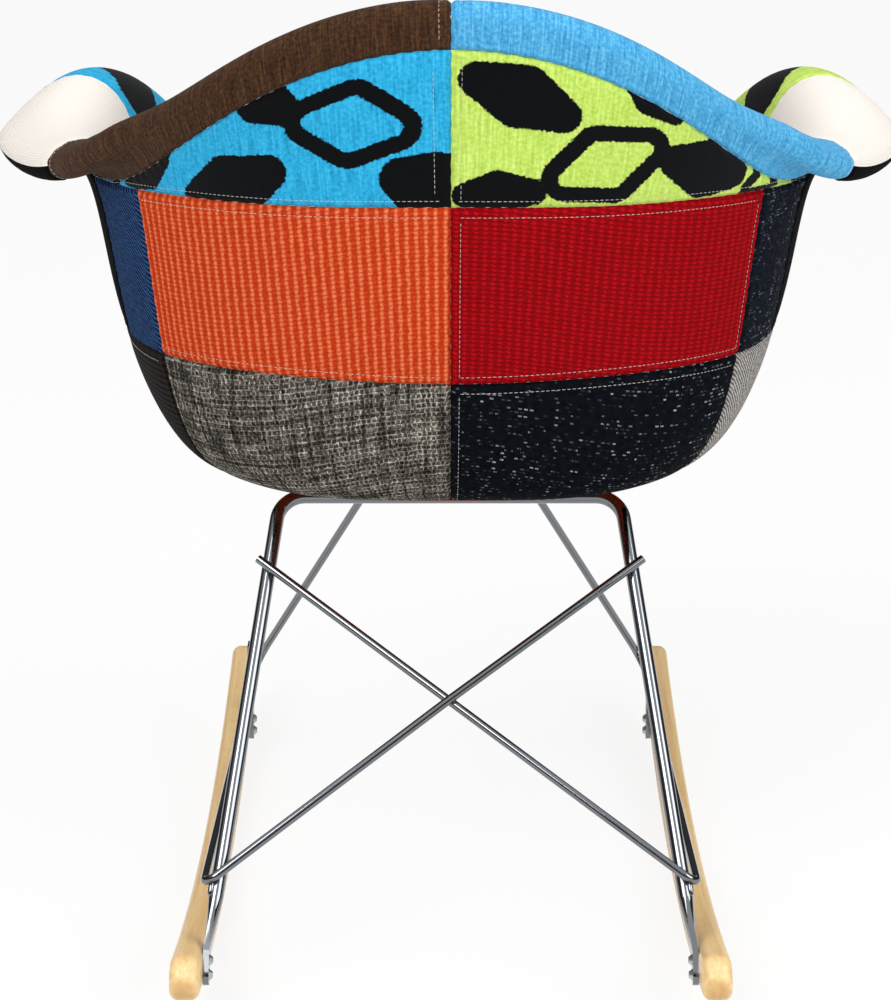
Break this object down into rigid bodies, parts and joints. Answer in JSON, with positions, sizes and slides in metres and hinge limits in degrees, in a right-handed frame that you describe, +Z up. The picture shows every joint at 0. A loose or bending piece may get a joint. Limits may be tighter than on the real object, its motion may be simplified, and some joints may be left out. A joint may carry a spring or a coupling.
{
  "type": "rocking chair",
  "caption": "Rocking armchair: a padded patchwork bucket seat bolted to a base of bent chromed rods that stands on two curved wooden rockers.",
  "frame": {"origin": "on the floor, under the middle of the two rockers, where they touch the floor at rest", "axes": "+Z up; -Y is the way the sitter faces, +Y the back of the chair; +X is the sitter's left"},
  "size_m": [0.6638, 0.688, 0.6734],
  "materials": {
    "rod_chrome": "bright chrome plate",
    "steel": "zinc plated",
    "rubber": "black moulded",
    "rocker_wood": "pale hardwood, clear satin lacquer",
    "shell_plastic": "moulded polypropylene",
    "foam": "soft polyurethane foam",
    "brown_chenille": "brushed chenille",
    "sky_chenille": "brushed chenille",
    "cyan_print": "chenille with dark lozenge print",
    "lime_print": "chenille with dark lozenge print",
    "orange_rib": "ribbed weave",
    "red_waffle": "waffle weave",
    "grey_tweed": "basket tweed",
    "night_tweed": "tweed with white flecks",
    "blue_denim": "twill",
    "navy_fleck": "twill with white flecks",
    "brown_cord": "corduroy",
    "pale_tweed": "tweed",
    "black_weave": "plain weave",
    "cream_weave": "plain weave",
    "rust_weave": "plain weave"
  },
  "bodies": {
    "root": {"arm_outer_left": "black_weave", "arm_outer_right": "black_weave", "back_lower_left": "grey_tweed", "back_lower_right": "night_tweed", "back_middle_left": "orange_rib", "back_middle_right": "red_waffle", "back_upper_left": "cyan_print", "back_upper_right": "lime_print", "border_arm_left": "cream_weave", "border_arm_right": "cream_weave", "border_arm_tip_left": "cyan_print", "border_arm_tip_right": "lime_print", "border_back_left": "brown_chenille", "border_back_right": "sky_chenille", "border_front_left": "orange_rib", "border_front_right": "grey_tweed", "cradle_rod_left": "rod_chrome", "cradle_rod_right": "rod_chrome", "flank_left": "blue_denim", "flank_right": "navy_fleck", "foot_screws": "steel", "front_apron_left": "rust_weave", "front_apron_right": "blue_denim", "front_foot_left": "rod_chrome", "front_foot_right": "rod_chrome", "front_mount_bar": "steel", "inner_arm_left": "cyan_print", "inner_arm_right": "lime_print", "inner_arm_tip_left": "cyan_print", "inner_arm_tip_right": "lime_print", "inner_back_left": "night_tweed", "inner_back_right": "orange_rib", "inner_front_left": "brown_cord", "inner_front_right": "sky_chenille", "inner_seat_left": "red_waffle", "inner_seat_right": "pale_tweed", "mount_pads": "rubber", "mount_washers": "steel", "rear_leg_frame": "rod_chrome", "rear_mount_plate_left": "steel", "rear_mount_plate_right": "steel", "rocker_left": "rocker_wood", "rocker_right": "rocker_wood", "seat_bolts": "steel", "seat_foam": "foam", "seat_inserts": "steel", "seat_panel": "grey_tweed", "seat_shell": "shell_plastic", "side_lower_left": "brown_cord", "side_lower_right": "pale_tweed", "underside_panel": "rust_weave"}
  },
  "joints": []
}
